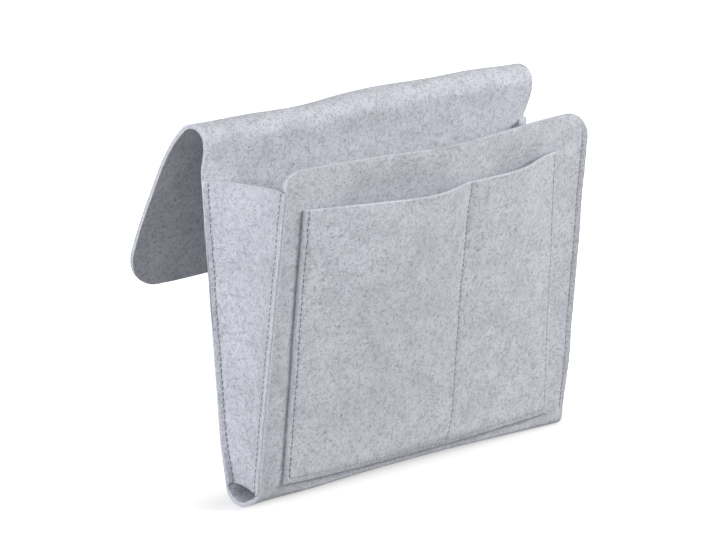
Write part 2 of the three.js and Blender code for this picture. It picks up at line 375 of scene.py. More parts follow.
def margin_turn(w, s, z):
    """How a side margin turns out along its seam: the angle, its arc and the straight part beyond."""
    up = front_length - s
    above = smooth((z - gusset_top) / FRONT_ABOVE_GUSSET)
    fin = FIN_TURN_LOW + (FIN_TURN_HIGH - FIN_TURN_LOW) * np.clip(up / front_length, 0, 1)
    left_front = fin * smooth((up + FIN_FADE_START) / FIN_FADE) * (1 - FIN_EASED * above)
    right_front = FRONT_MARGIN_TURN * smooth(up / SHORT_FADE) * (1 - MARGIN_EASED * above)
    left_rise = smooth((z - gusset_bottom + FIN_FADE) / SHORT_FADE)
    right_rise = smooth((z - gusset_bottom) / LONG_FADE)
    back = BACK_MARGIN_TURN * np.where(w < 0, left_rise, right_rise)
    back = back * (1 - smooth((z - gusset_top) / EASE_LENGTH))
    back = np.where((s > heel_s - BASE_FLAT / 2) & (s < fold_s), back, 0.0)
    on_front = s < front_length + FIN_FADE_START
    on_fin = on_front & (w < 0)
    turn = np.where(on_front, np.where(w < 0, left_front, right_front), back)
    return turn, np.where(on_fin, FIN_ARC, EDGE_ARC), np.where(on_fin, FIN_STRAIGHT, EDGE_STRAIGHT)


def open_share(x, up):
    """How open a compartment of the pocket is at a place: not at its seams, and most at its mouth."""
    start = np.where(x < divider, -side_seam, divider)
    end = np.where(x < divider, divider, side_seam)
    across = np.clip((x - start) / (end - start), 0, 1)
    bow = 4 * across * (1 - across)
    eased = bow * (1 - MOUTH_EASE * (1 - bow))
    return eased * smooth((up - bottom_seam) / (pocket_top - bottom_seam))


def front_warp(x, up):
    """How far the front panel stands out from its even plane."""
    t = np.clip(up / front_length, 0, 1)
    across = x / HALF_WIDTH
    shifted = np.clip(across - BULGE_SHIFT / HALF_WIDTH * (1 - across**2), -1, 1)
    out = FRONT_BULGE * np.cos(math.pi / 2 * shifted) ** 2 * smooth(t)
    out = out - FRONT_TWIST * across * t - FRONT_SINK * t - FRONT_SAG * np.sin(math.pi * t)
    wave = np.sin(2 * math.pi * (x - TOP_WAVE_START) / TOP_WAVE_LENGTH) * np.cos(math.pi / 2 * across) ** 2
    near_top = smooth((t - 1 + TOP_WAVE_SHARE) / TOP_WAVE_SHARE)
    hollow = POCKET_HOLLOW * open_share(x, up) * (1 - smooth((up - pocket_top) / POCKET_BELOW_TOP))
    return out + TOP_WAVE * wave * near_top - hollow


def base_roll(w, s):
    """How far the front corner of the base is rolled in, most at the middle of the width."""
    before = smooth((s - front_length + BASE_ROLL_REACH) / BASE_ROLL_REACH)
    after = smooth((heel_s - s) / BASE_ROLL_REACH)
    return BASE_ROLL * (1 - (w / HALF_WIDTH) ** 2) * before * after


def strip_at(w, s):
    """Points at the middle of the strip's felt: w across it, s along it from the front's top edge."""
    w, s = np.broadcast_arrays(np.asarray(w, float), np.asarray(s, float))
    y, z, heading = profile_at(w, s)
    x, lift = edge_turn(w, *margin_turn(w, s, z))
    up = front_length - s
    at_left = smooth((-w - pocket_right) / POCKET_SIDE_MARGIN)
    at_right = smooth((w - pocket_right) / POCKET_SIDE_MARGIN)
    x = x - LEFT_SPREAD * smooth(up / BASE_ROLL_REACH) * at_left
    x = x + RIGHT_SPREAD * smooth(1 + up / BASE_ROLL_REACH) * at_right
    lift = lift + np.where(up > 0, front_warp(x, up), 0.0)
    lift = lift + RIPPLE * ripple(w, s) * smooth((z - foot_z) / LONG_FADE) - base_roll(w, s)
    x = x + FOLD_SPREAD * smooth(w / HALF_WIDTH) * smooth((s - fold_s + EASE_LENGTH / 2) / EASE_LENGTH)
    rear = np.where(s > heel_s, np.clip(back_share(z), 0, REAR_SHARE_MOST), 0.0)
    rise = FOLD_RISE * smooth((x - FOLD_RISE_START) / FOLD_RISE_RUN) - FOLD_DROP
    y = y + lift * np.sin(heading) - (BACK_SHIFT + BACK_TWIST * x / HALF_WIDTH) * rear
    z = z - lift * np.cos(heading) + rise * rear
    return np.stack([x, y + base_y, z], -1)


def strip_frame(w, s):
    """Points of the strip and its normals, which point into the bag."""
    across = strip_at(w + SLOPE_STEP, s) - strip_at(w - SLOPE_STEP, s)
    along = strip_at(w, s + SLOPE_STEP) - strip_at(w, s - SLOPE_STEP)
    return strip_at(w, s), unit(np.cross(across, along))


def half_width(s):
    """Half the width of the strip, which has rounded corners at both ends."""
    radius = np.where(s < heel_s, CORNER_RADIUS, FLAP_CORNER_RADIUS)
    inward = np.clip(radius - np.minimum(s, strip_length - s), 0, radius)
    return HALF_WIDTH - radius + np.sqrt(radius**2 - inward**2)


# Felt sheets as meshes

def grid_normals(grid):
    return unit(np.cross(np.gradient(grid, axis=1), np.gradient(grid, axis=0)))


def seam_thinning(from_edge):
    """How much thinner a sewn felt is at a distance from its cut edge."""
    return SEAM_THINNED * (1 - smooth((from_edge - SEAM_MARGIN) / SEAM_THINNED_REACH))


def beside_seam(along, length, fade):
    """1 beside a seam of a length, easing to 0 past its ends."""
    return smooth((along + fade) / fade) * smooth((length + fade - along) / fade)


def mesh_from(name, points, faces):
    mesh = bpy.data.meshes.new(name)
    mesh.from_pydata((points * METRES).tolist(), [], faces)
    mesh.polygons.foreach_set("use_smooth", np.ones(len(mesh.polygons), bool))
    mesh.update()
    return mesh


def write_vectors(mesh, name, vectors):
    attribute = mesh.attributes.new(name, "FLOAT_VECTOR", "POINT")
    attribute.data.foreach_set("vector", vectors.astype(np.float32).ravel())


def keep_sharp(mesh, groups):
    """Keeps the edges along each group of points sharp, so that a continued sheet shades on smoothly."""
    ends = np.zeros(len(mesh.edges) * 2, np.int32)
    mesh.edges.foreach_get("vertices", ends)
    ends = ends.reshape(-1, 2)
    sharp = np.zeros(len(ends), bool)
    for group in groups:
        sharp |= np.isin(ends, group).all(1)
    mesh.attributes.new("sharp_edge", "BOOLEAN", "EDGE").data.foreach_set("value", sharp)


def link(name, data):
    """A new object in the scene that shows a mesh, a lamp or a camera."""
    piece = bpy.data.objects.new(name, data)
    bpy.context.scene.collection.objects.link(piece)
    return piece


class Felt:
    """A felt sheet: a grid of points at the middle of the felt, and where each lies on the flat cut piece."""

    def __init__(self, middle, flat):
        self.middle = middle
        self.flat = flat
        self.normal = grid_normals(middle)
        self.thickness = np.full(middle.shape[:2], FELT)

    def rows(self, first, last):
        part = Felt(self.middle[first:last], self.flat[first:last])
        part.normal = self.normal[first:last]
        part.thickness = self.thickness[first:last]
        return part

    def face(self, side):
        return self.middle + side * self.normal * self.thickness[..., None] / 2

    def press(self, distance, along, length, depth=DENT_DEPTH):
        """Draws the felt in along a seam, given each point's distance from it and place along it."""
        pitch = length / round(length / STITCH_PITCH)
        pull = DENT_EVEN + (1 - DENT_EVEN) * np.cos(2 * math.pi * along / pitch)
        dent = 2 * depth * np.exp(-((distance / DENT_REACH) ** 2))
        self.thickness -= dent * pull * beside_seam(along, length, DENT_FADE)

    def squeeze(self, from_edge, along, length):
        """Thins a sewn margin, given each point's distance from the edge and place along the seam."""
        self.thickness -= seam_thinning(from_edge) * beside_seam(along, length, SEAM_THINNED_FADE)

    def rim(self):
        """Rows and columns of the points round the edge, anticlockwise seen from the near face."""
        last_row, last_column = self.middle.shape[0] - 1, self.middle.shape[1] - 1
        bottom = [(0, c) for c in range(last_column)]
        right = [(r, last_column) for r in range(last_row)]
        top = [(last_row, c) for c in range(last_column, 0, -1)]
        left = [(r, 0) for r in range(last_row, 0, -1)]
        return np.array(bottom + right + top + left).T

    def rim_outward(self, r, c, uncut):
        """Directions out of the cut edge; a row where the sheet runs on into another has none."""
        p = self.middle
        last_row, last_column = p.shape[0] - 1, p.shape[1] - 1
        inner_r = np.clip(r, 1, last_row - 1)
        inner_c = np.clip(c, 1, last_column - 1)
        by_row = unit(p[r, c] - p[inner_r, c])
        by_row[np.isin(r, [row % (last_row + 1) for row in uncut])] = 0
        return unit(by_row + unit(p[r, c] - p[r, inner_c]))

    def shell(self, r, c, outward, seed):
        """Points of both faces and of the cut edge, each with its place in the flat felt."""
        rng = np.random.default_rng(seed)
        thick = self.thickness[..., None]
        points, places = [], []
        for side in (1, -1):
            face = self.face(side)
            face[r, c] -= outward * EDGE_ROUND
            points.append(face.reshape(-1, 3))
            places.append(np.concatenate([self.flat, side * thick / 2], -1).reshape(-1, 3))
        for level in EDGE_LEVELS:
            rough = rng.normal(0, EDGE_ROUGHNESS, (len(r), 1))
            points.append(self.middle[r, c] + self.normal[r, c] * thick[r, c] * level + outward * rough)
            places.append(np.concatenate([self.flat[r, c], thick[r, c] * level], -1))
        return np.concatenate(points), np.concatenate(places)

    def build(self, name, seed, uncut=()):
        """A closed mesh with rounded cut edges; uncut lists rows (0 or -1) where the sheet runs on."""
        rows, columns = self.middle.shape[:2]
        r, c = self.rim()
        points, places = self.shell(r, c, self.rim_outward(r, c, uncut), seed)
        at = np.arange(rows * columns).reshape(rows, columns)
        quads = np.stack([at[:-1, :-1], at[:-1, 1:], at[1:, 1:], at[1:, :-1]], -1).reshape(-1, 4)
        edge = 2 * rows * columns + np.arange(len(EDGE_LEVELS) * len(r)).reshape(-1, len(r))
        rings = [at[r, c], *edge, at[r, c] + rows * columns]
        bands = [
            np.stack([a, b, np.roll(b, -1), np.roll(a, -1)], -1) for a, b in zip(rings[:-1], rings[1:])
        ]
        faces = np.concatenate([quads, quads[:, ::-1] + rows * columns, *bands])
        mesh = mesh_from(name, points, faces.tolist())
        on_edge = np.arange(len(faces)) >= 2 * len(quads)
        mesh.polygons.foreach_set("material_index", on_edge.astype(np.int32))
        write_vectors(mesh, "felt", places + np.array([seed * SHEET_SPACING, 0, 0]))
        runs_on = np.isin(r, [row % rows for row in uncut])
        keep_sharp(mesh, [rings[0][runs_on], rings[-1][runs_on]])
        return link(name, mesh)


# The strip: front, base, back, fold and flap in one run

def seam_ends(place):
    """Where a gusset's seam starts and ends along the strip, on the front or the back panel."""
    return sorted([place(gusset_bottom), place(gusset_top)])


def strip_sheet():
    corner = 1 - np.cos(np.linspace(0, math.pi / 2, CORNER_ROWS))
    runs = [
        CORNER_RADIUS * corner,
        spread(CORNER_RADIUS, front_length, ROW_STEP),
        spread(front_length, heel_s, FOLD_STEP),
        spread(heel_s, fold_s, ROW_STEP),
        spread(fold_s, split_s, FOLD_STEP),
        spread(split_s, flap_s, FOLD_STEP),
        spread(flap_s, strip_length - FLAP_CORNER_RADIUS, FLAP_STEP),
        strip_length - FLAP_CORNER_RADIUS * corner[::-1],
    ]
    s = np.unique(np.round(np.concatenate(runs), 5))
    w = spaced(-HALF_WIDTH, HALF_WIDTH, COARSE_STEP, (-seam_w, seam_w))
    flat_w = w[None, :] * half_width(s)[:, None] / HALF_WIDTH
    flat_s = np.repeat(s[:, None], len(w), 1)
    sheet = Felt(strip_at(flat_w, flat_s), np.stack([flat_w, flat_s], -1))
    for place in (front_place, back_place):
        start, end = seam_ends(place)
        sheet.press(np.abs(w)[None, :] - seam_w, flat_s - start, end - start)
        sheet.squeeze(HALF_WIDTH - np.abs(flat_w), flat_s - start, end - start)
    return sheet, s, w


strip, strip_s, strip_w = strip_sheet()
split_row = int(np.argmin(np.abs(strip_s - split_s)))
body_sheet = strip.rows(0, split_row + 1)
flap_sheet = strip.rows(split_row, None)


# Gussets: a web between flanges that lie on the side margins of the strip

def hermite(a, b, start, end, t):
    """Curves from points a to points b that leave and arrive with given tangents."""
    t = t[None, :, None]
    a, b, start, end = (v[:, None, :] for v in (a, b, start, end))
    return (
        (2 * t**3 - 3 * t**2 + 1) * a
        + (t**3 - 2 * t**2 + t) * start
        + (3 * t**2 - 2 * t**3) * b
        + (t**3 - t**2) * end
    )


def web_bow(z, reach):
    """How far a gusset bows in, to fit its full width between panels that stand closer than planned."""
    opened = (z - foot_z) * math.tan(FRONT_LEAN) + (z - heel_z) * math.tan(BACK_LEAN)
    spare = heel_y - foot_y + opened - 2 * FELT - reach
    spare = (spare + np.sqrt(spare**2 + BOW_EASE**2)) / 2
    slack = smooth((z - gusset_bottom) / LONG_FADE) * 2 / math.pi * np.sqrt(reach * spare)
    return WEB_BOW * smooth((z - gusset_bottom) / GUSSET_HEIGHT) + slack


def gusset_sheet(side):
    """A gusset's sheet, and its columns that lie at the rear and the front seam."""
    z = spread(gusset_bottom, gusset_top, ROW_STEP)
    lower = z - GUSSET_DIP * (1 - smooth((z - gusset_bottom) / GUSSET_DIP_REACH))
    beside = [SEAM_MARGIN + offset for offset in FLANGE_SEAM_OFFSETS]
    inset = np.array([*FINE_OFFSETS, *beside, FLANGE])
    layer = FELT - seam_thinning(inset)[None, :, None] + LAYER_GAP
    flanges = []
    for place in (back_place(z), front_place(lower)):
        point, normal = strip_frame(side * (HALF_WIDTH - inset)[None, :], place[:, None])
        flanges.append(point + normal * layer)
    rear, front = flanges
    reach = np.linalg.norm(front[:, -1] - rear[:, -1], axis=1, keepdims=True)
    pull = np.minimum(WEB_EASE, WEB_EASE_MOST * reach)
    leave = unit(rear[:, -1] - rear[:, -2]) * pull
    arrive = unit(front[:, -2] - front[:, -1]) * pull
    t = (1 - np.cos(np.linspace(0, math.pi, WEB_COLUMNS))) / 2
    web = hermite(rear[:, -1], front[:, -1], leave, arrive, t)
    bow = web_bow(z, reach[:, 0])
    web[..., 0] -= side * bow[:, None] * np.sin(math.pi * t)[None, :]
    grid = np.concatenate([rear, web[:, 1:-1], front[:, ::-1]], 1)
    if side > 0:
        grid = grid[:, ::-1]
    steps = np.linalg.norm(np.diff(grid, axis=1), axis=2)
    u = np.concatenate([np.zeros((len(z), 1)), np.cumsum(steps, 1)], 1)
    width = u[:, -1:]
    flat = np.stack([u - width / 2, np.repeat(z[:, None], u.shape[1], 1)], -1)
    sheet = Felt(grid, flat)
    along = flat[..., 1] - gusset_bottom
    for from_edge in (u, width - u):
        sheet.press(from_edge - SEAM_MARGIN, along, GUSSET_HEIGHT)
        sheet.thickness -= seam_thinning(from_edge)
    last_column = grid.shape[1] - 1
    seam_column = int(np.argmin(np.abs(inset - SEAM_MARGIN)))
    rear_column = seam_column if side < 0 else last_column - seam_column
    return sheet, rear_column, last_column - rear_column


# Front pocket

def pocket_sheet():
    """The pocket's sheet, with the places across and up of its columns and rows."""
    x = spaced(-pocket_right, pocket_right, COARSE_STEP, pocket_seams)[None, :]
    up = spaced(POCKET_ABOVE_CORNER, pocket_top, ROW_STEP, (bottom_seam,))[:, None]
    share = up / pocket_top
    to_left = smooth((divider - x) / (divider + pocket_right))
    to_right = smooth((x - divider) / RIGHT_POCKET_WIDTH)
    left_slant = (LEFT_EDGE_SHIFT - LEFT_EDGE_SLANT * share) * to_left
    right_slant = (RIGHT_EDGE_SHIFT - RIGHT_EDGE_SLANT * share) * to_right
    beyond_seam = np.maximum(np.abs(x) - side_seam, 0)
    lying_x = x - np.sign(x) * beyond_seam * EDGE_DRAWN_IN + left_slant + right_slant
    sway = DIVIDER_SWAY * np.cos(math.pi * share) * smooth(share / DIVIDER_SWAY_START)
    lying_x = lying_x + sway * np.exp(-(((x - divider) / DIVIDER_SWAY_REACH) ** 2))
    middle_share = 1 - (x / pocket_right) ** 2
    drop = middle_share * (MOUTH_DIP * share**4 + BOTTOM_SAG * (1 - share) ** 2)
    drop = drop - RIGHT_TOP_RISE * to_right * share**4
    below_seam = np.maximum(bottom_seam - up, 0)
    lying_s = front_length - up - below_seam + drop
    point, normal = strip_frame(lying_x, lying_s)
    down = unit(strip_at(lying_x, lying_s + DOWN_STEP) - strip_at(lying_x, lying_s - DOWN_STEP))
    thinned = EDGE_THINNED * smooth(np.maximum(beyond_seam, below_seam) / POCKET_SEAM_MARGIN)
    lift = POCKET_LIFT * smooth(beyond_seam / POCKET_SEAM_MARGIN)
    gape = np.where(x < divider, LEFT_GAPE, RIGHT_GAPE) * open_share(x, up)
    out = FELT + LAYER_GAP + gape + lift - thinned / 2
    flat = np.stack(np.broadcast_arrays(x, up), -1)
    sheet = Felt(point + down * below_seam[..., None] - normal * out[..., None], flat.copy())
    sheet.thickness -= thinned
    for seam, depth in zip(pocket_seams, (DENT_DEPTH, DENT_DEPTH, SHALLOW_DENT)):
        sheet.press(x - seam, flat[..., 1] - bottom_seam, pocket_top - bottom_seam, depth)
    sheet.press(up - bottom_seam, flat[..., 0] + side_seam, 2 * side_seam, SHALLOW_DENT)
    return sheet, x[0], up[:, 0]


# Materials

def linear(*srgb):
    """A colour given as it shows, in steps of 255, as the shader's linear values."""
    shares = [value / 255 for value in srgb]
    return (*[v / 12.92 if v <= 0.04045 else ((v + 0.055) / 1.055) ** 2.4 for v in shares], 1.0)


class Shader:
    """Short ways to add and join the nodes of a material."""

    def __init__(self, name):
        self.material = bpy.data.materials.new(name)
        self.material.use_nodes = True
        self.tree = self.material.node_tree
        self.tree.nodes.clear()

    def node(self, kind, inputs=None, **settings):
        node = self.tree.nodes.new("ShaderNode" + kind)
        for key, value in settings.items():
            setattr(node, key, value)
        for key, value in (inputs or {}).items():
            if isinstance(value, bpy.types.NodeSocket):
                self.tree.links.new(value, node.inputs[key])
            else:
                node.inputs[key].default_value = value
        return node

    def place(self, name):
        return self.node("Attribute", attribute_name=name).outputs["Vector"]

    def parts(self, vector):
        return self.node("SeparateXYZ", {0: vector}).outputs

    def noise(self, vector, scale, detail=2.0, roughness=0.5, output=0):
        inputs = {"Vector": vector, "Scale": scale, "Detail": detail, "Roughness": roughness}
        return self.node("TexNoise", inputs).outputs[output]

    def number(self, operation, a, b=0.0, clamp=False):
        return self.node("Math", {0: a, 1: b}, operation=operation, use_clamp=clamp).outputs[0]

    def vector(self, operation, a, b=(0, 0, 0)):
        return self.node("VectorMath", {0: a, 1: b}, operation=operation).outputs[0]

    def ramp(self, value, low, high, start=0.0, end=1.0):
        inputs = {"Value": value, "From Min": low, "From Max": high, "To Min": start, "To Max": end}
        return self.node("MapRange", inputs, interpolation_type="SMOOTHSTEP").outputs[0]

    def mix(self, factor, a, b):
        return self.node("Mix", data_type="RGBA", inputs={0: factor, 6: a, 7: b}).outputs[2]

    def bump(self, height, strength, distance):
        return self.node("Bump", {"Height": height, "Strength": strength, "Distance": distance}).outputs[0]

    def patches(self, vector, noise, shows):
        """A mask of soft patches: noise of a scale, detail and roughness, within the range that shows."""
        return self.ramp(self.noise(vector, *noise), *shows)

    def fibres(self, vector, angles, length, width, shows):
        """A mask of fibres in some directions: noise that is drawn out along each of them."""
        masks = []
        for angle in angles:
            turned = self.node("Mapping", {"Vector": vector, "Rotation": (0, 0, angle)}).outputs[0]
            scale = (1 / length, 1 / width, 1 / width)
            drawn = self.node("Mapping", {"Vector": turned, "Scale": scale}).outputs[0]
            masks.append(self.ramp(self.noise(drawn, 1.0, FIBRE_DETAIL), *shows))
        most = masks[0]
        for mask in masks[1:]:
            most = self.number("MAXIMUM", most, mask)
        return most

    def finish(self, surface):
        self.node("OutputMaterial", {"Surface": surface})
        return self.material


# Felt colours, its noise as scale for each mm, detail and roughness, and its fibres' sizes in mm
FELT_LIGHT = linear(224, 226, 233)
FELT_MID = linear(209, 211, 218)
FELT_DARK = linear(150, 152, 161)
FIBRE_DARK = linear(104, 105, 116)
FIBRE_LIGHT = linear(236, 237, 244)
# Painted highlight: the cut edges are made lighter than the faces, by this tint and share
PAINTED_EDGE_HIGHLIGHT = linear(228, 229, 237)
PAINTED_EDGE_HIGHLIGHT_SHARE = 0.55
CURL_SCALE = 0.11
CURL_REACH = 9.0
CLOUD = {"noise": (0.045, 3.0, 0.6), "shows": (0.3, 0.7)}
MOTTLE = {"noise": (0.3, 4.0, 0.68), "shows": (0.45, 0.72)}
FLECKS = {"noise": (0.75, 2.0, 0.5), "shows": (0.57, 0.74)}
FIBRE_DETAIL = 1.5
DARK_FIBRES = {"angles": (0.2, 1.3, 2.4), "length": 4.5, "width": 0.9, "shows": (0.6, 0.74)}
FINE_FIBRES = {"angles": (0.7, 1.8, 2.9), "length": 11.0, "width": 0.34, "shows": (0.6, 0.7)}
PALE_FIBRES = {"angles": (0.0, 1.05, 2.1), "length": 9.0, "width": 0.5, "shows": (0.6, 0.72)}
MOTTLE_SHARE = 0.56
FLECK_SHARE = 0.62
DARK_SHARE = 0.46
FINE_SHARE = 0.28
PALE_SHARE = 0.22
CORE_DEPTHS = (0.15, 0.75)
CORE_BREAKS = {"noise": (0.5, 3.0, 0.5), "shows": (0.4, 0.6)}
CORE_SHARE = 0.45
GRAIN = (1.9, 3.0, 0.7)
GRAIN_RANGE = (0.2, 0.8)
FELT_ROUGHNESS = (0.86, 1.0)
FIBRE_HEIGHT = 0.5
MOTTLE_HEIGHT = -0.4
FELT_BUMP = 0.55
FELT_BUMP_HEIGHT = 0.0005
FELT_SPECULAR = 0.15
FELT_SHEEN = 0.12
FELT_SHEEN_ROUGHNESS = 0.45


def felt_surface(name, cut=False):
    """Pressed melange felt, seen on its faces or, if cut, on its cut edges, which carry a painted highlight
    that makes them lighter, and a darker core.
    """
    shader = Shader(name)
    place = shader.place("felt")
    curl = shader.vector("SUBTRACT", shader.noise(place, CURL_SCALE, output=1), (0.5, 0.5, 0.5))
    curly = shader.vector("ADD", place, shader.vector("MULTIPLY", curl, (CURL_REACH,) * 3))
    mottle = shader.patches(curly, **MOTTLE)
    fine = shader.fibres(curly, **FINE_FIBRES)
    pale = shader.fibres(curly, **PALE_FIBRES)
    layers = (
        (mottle, MOTTLE_SHARE, FELT_DARK),
        (shader.patches(curly, **FLECKS), FLECK_SHARE, FIBRE_DARK),
        (shader.fibres(curly, **DARK_FIBRES), DARK_SHARE, FIBRE_DARK),
        (fine, FINE_SHARE, FIBRE_DARK),
        (pale, PALE_SHARE, FIBRE_LIGHT),
    )
    colour = shader.mix(shader.patches(place, **CLOUD), FELT_MID, FELT_LIGHT)
    for mask, share, tint in layers:
        colour = shader.mix(shader.number("MULTIPLY", mask, share), colour, tint)
    if cut:
        depth = shader.number("ABSOLUTE", shader.parts(place)[2])
        core = shader.ramp(depth, *CORE_DEPTHS, 1.0, 0.0)
        core = shader.number("MULTIPLY", core, shader.patches(place, **CORE_BREAKS))
        # Painted highlight: the cut edges are made lighter overall
        colour = shader.mix(PAINTED_EDGE_HIGHLIGHT_SHARE, colour, PAINTED_EDGE_HIGHLIGHT)
        colour = shader.mix(shader.number("MULTIPLY", core, CORE_SHARE), colour, FELT_DARK)
    grain = shader.noise(place, *GRAIN)
    fibre_height = shader.number("MULTIPLY", shader.number("ADD", fine, pale), FIBRE_HEIGHT)
    height = shader.number("ADD", grain, fibre_height)
    height = shader.number("ADD", height, shader.number("MULTIPLY", mottle, MOTTLE_HEIGHT))
    inputs = {
        "Base Color": colour,
        "Roughness": shader.ramp(grain, *GRAIN_RANGE, *FELT_ROUGHNESS),
        "Normal": shader.bump(height, FELT_BUMP, FELT_BUMP_HEIGHT),
        "Specular IOR Level": FELT_SPECULAR,
        "Sheen Weight": FELT_SHEEN,
        "Sheen Roughness": FELT_SHEEN_ROUGHNESS,
    }
    return shader.finish(shader.node("BsdfPrincipled", inputs).outputs[0])


THREAD_DARK = linear(104, 106, 116)
THREAD_LIGHT = linear(158, 160, 170)
# Painted light: the paler thread tone for seams that the light falls on
THREAD_PAINTED_LIGHT = linear(196, 198, 206)
PLY_SHARE = 0.6
STITCH_TONE_SHARE = 0.4
THREAD_BUMP = 0.6
THREAD_BUMP_HEIGHT = 0.0002
THREAD_ROUGHNESS = 0.62
THREAD_SHEEN = 0.1


def thread_surface():
    """Twisted dark thread, whose plies show as slanting bands, with painted light on some seams: there the
    thread is painted paler where light falls on it.
    """
    shader = Shader("thread")
    turns, tone, pale = shader.parts(shader.place("thread"))
    wave = shader.number("SINE", shader.number("MULTIPLY", turns, 2 * math.pi))
    ply = shader.ramp(wave, -1.0, 1.0)
    ply_tone = shader.number("MULTIPLY", ply, PLY_SHARE)
    stitch_tone = shader.number("MULTIPLY", tone, STITCH_TONE_SHARE)
    share = shader.number("ADD", ply_tone, stitch_tone, clamp=True)
    colour = shader.mix(share, THREAD_DARK, THREAD_LIGHT)
    inputs = {
        # Painted light: paler thread on the lit seams
        "Base Color": shader.mix(pale, colour, THREAD_PAINTED_LIGHT),
        "Normal": shader.bump(ply, THREAD_BUMP, THREAD_BUMP_HEIGHT),
        "Roughness": THREAD_ROUGHNESS,
        "Sheen Weight": THREAD_SHEEN,
    }
    return shader.finish(shader.node("BsdfPrincipled", inputs).outputs[0])


felt_material = felt_surface("felt")
edge_material = felt_surface("felt_cut_edge", cut=True)
thread_material = thread_surface()


# Camera

def make_camera():
    a, p, r = CAMERA_AZIMUTH, CAMERA_PITCH, CAMERA_ROLL
    back = Vector((math.sin(a) * math.cos(p), -math.cos(a) * math.cos(p), math.sin(p)))
    level = Vector((math.cos(a), math.sin(a), 0))
    upright = back.cross(level)
    right = math.cos(r) * level + math.sin(r) * upright
    up = math.cos(r) * upright - math.sin(r) * level
    target = Vector(CAMERA_TARGET) + Vector((0, base_y, 0))
    data = bpy.data.cameras.new("camera")
    data.sensor_width = SENSOR_WIDTH
    data.lens = FOCAL_PIXELS * SENSOR_WIDTH / IMAGE_WIDTH
    data.clip_end = CAMERA_REACH * METRES
    camera = link("camera", data)
    place = (target + back * CAMERA_DISTANCE) * METRES
    camera.matrix_world = Matrix.Translation(place) @ Matrix((right, up, back)).transposed().to_4x4()
    bpy.context.scene.camera = camera


# Seam threads: rows of single stitches along lines on the felt faces

def resample(along, lengths, values):
    return np.stack([np.interp(along, lengths, values[:, k]) for k in range(3)], -1)


def stitch_row(line, outward, seed, pale):
    """Points, faces and thread places of the stitches along a line on a felt face."""
    lengths = np.concatenate([[0], np.cumsum(np.linalg.norm(np.diff(line, axis=0), axis=1))])
    count = max(1, round(lengths[-1] / STITCH_PITCH))
    middle = (np.arange(count) + 0.5) * lengths[-1] / count
    t = np.linspace(-1, 1, THREAD_RINGS)
    along = middle[:, None] + t[None, :] * STITCH_LENGTH / 2
    normal = unit(resample(along, lengths, outward))
    ahead = resample(along + HEADING_STEP, lengths, line)
    heading = unit(ahead - resample(along - HEADING_STEP, lengths, line))
    side = unit(np.cross(heading, normal))
    rng = np.random.default_rng(seed)
    wander = rng.normal(0, STITCH_WANDER, (count, 1)) + STITCH_SLANT * t[None, :]
    height = STITCH_RISE - (STITCH_RISE + STITCH_SINK) * t**4
    centre = resample(along, lengths, line) + normal * height[None, :, None] + side * wander[..., None]
    heading = unit(np.gradient(centre, axis=1))
    side = unit(np.cross(heading, normal))
    up = np.cross(side, heading)
    angle = np.linspace(0, 2 * math.pi, THREAD_SIDES, endpoint=False) - math.pi / 2
    round_side = np.cos(angle)[None, None, :, None] * side[:, :, None] * THREAD_WIDTH / 2
    round_up = np.sin(angle)[None, None, :, None] * up[:, :, None] * THREAD_HEIGHT / 2
    rings = centre[:, :, None] + round_side + round_up
    turns = np.linspace(0, 1, THREAD_SIDES, endpoint=False)[None, None, :] + along[..., None] / PLY_LENGTH
    tone = np.broadcast_to(rng.uniform(0, 1, (count, 1, 1)), turns.shape)
    places = np.stack([turns, tone, np.full(turns.shape, pale)], -1)
    at = np.arange(rings[..., 0].size).reshape(rings.shape[:3])
    beside = np.roll(at, -1, 2)
    quads = np.stack([at[:, :-1], at[:, 1:], beside[:, 1:], beside[:, :-1]], -1).reshape(-1, 4)
    caps = [*at[:, 0].tolist(), *at[:, -1, ::-1].tolist()]
    return rings.reshape(-1, 3), quads.tolist() + caps, places.reshape(-1, 3)


def make_thread(name, lines, seed):
    """One seam's thread: stitches along each of its lines, given as points and outward directions."""
    node = name.removesuffix("_stitches")
    # Painted light: how much paler this seam's thread is painted where light falls on it
    pale = PAINTED_LIGHT_SEAMS.get(node.removeprefix("thread_"), 0.0)
    points, faces, places, first = [], [], [], 0
    for k, (line, outward) in enumerate(lines):
        row_points, row_faces, row_places = stitch_row(line, outward, seed + k, pale)
        points.append(row_points)
        places.append(row_places)
        faces += [[first + v for v in face] for face in row_faces]
        first += len(row_points)
    mesh = mesh_from(name, np.concatenate(points), faces)
    write_vectors(mesh, "thread", np.concatenate(places))
    mesh.materials.append(thread_material)
    piece = link(name, mesh)
    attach(piece, "bag")
    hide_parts(node)


def face_line(sheet, side, rows, columns):
    """The points of some rows and columns on a face of a sheet, and the directions out of it."""
    return sheet.face(side)[rows, columns], side * sheet.normal[rows, columns]


def behind_front(sheet, rows, columns):
    """The line on the inner face of the front panel behind a seam of the pocket."""
    x = sheet.middle[rows, columns][:, 0]
    up = sheet.flat[rows, columns][:, 1]
    point, normal = strip_frame(x, front_length - up)
    return point + normal * FELT / 2, normal


# Felt pieces

def dress_felt(piece, nodes):
    piece.data.materials.append(felt_material)
    piece.data.materials.append(edge_material)
    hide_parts(*nodes)


def make_strip():
    body = body_sheet.build("felt_strip", 1, uncut=(-1,))
    dress_felt(body, ("front_panel", "base_fold", "back_panel"))
    flap = flap_sheet.build("felt_flap", 1, uncut=(0,))
    dress_felt(flap, ("fold_crown", "rear_flap"))
    bend_places = np.array([fold_s - BEND_BEFORE_FOLD, split_s, flap_s + BEND_AFTER_FOLD])
    start, middle, end = strip_at(np.zeros(3), bend_places) * METRES
    left, right = strip_at(np.array([-HALF_WIDTH, HALF_WIDTH]), split_s)
    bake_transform(body)
    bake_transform(flap)


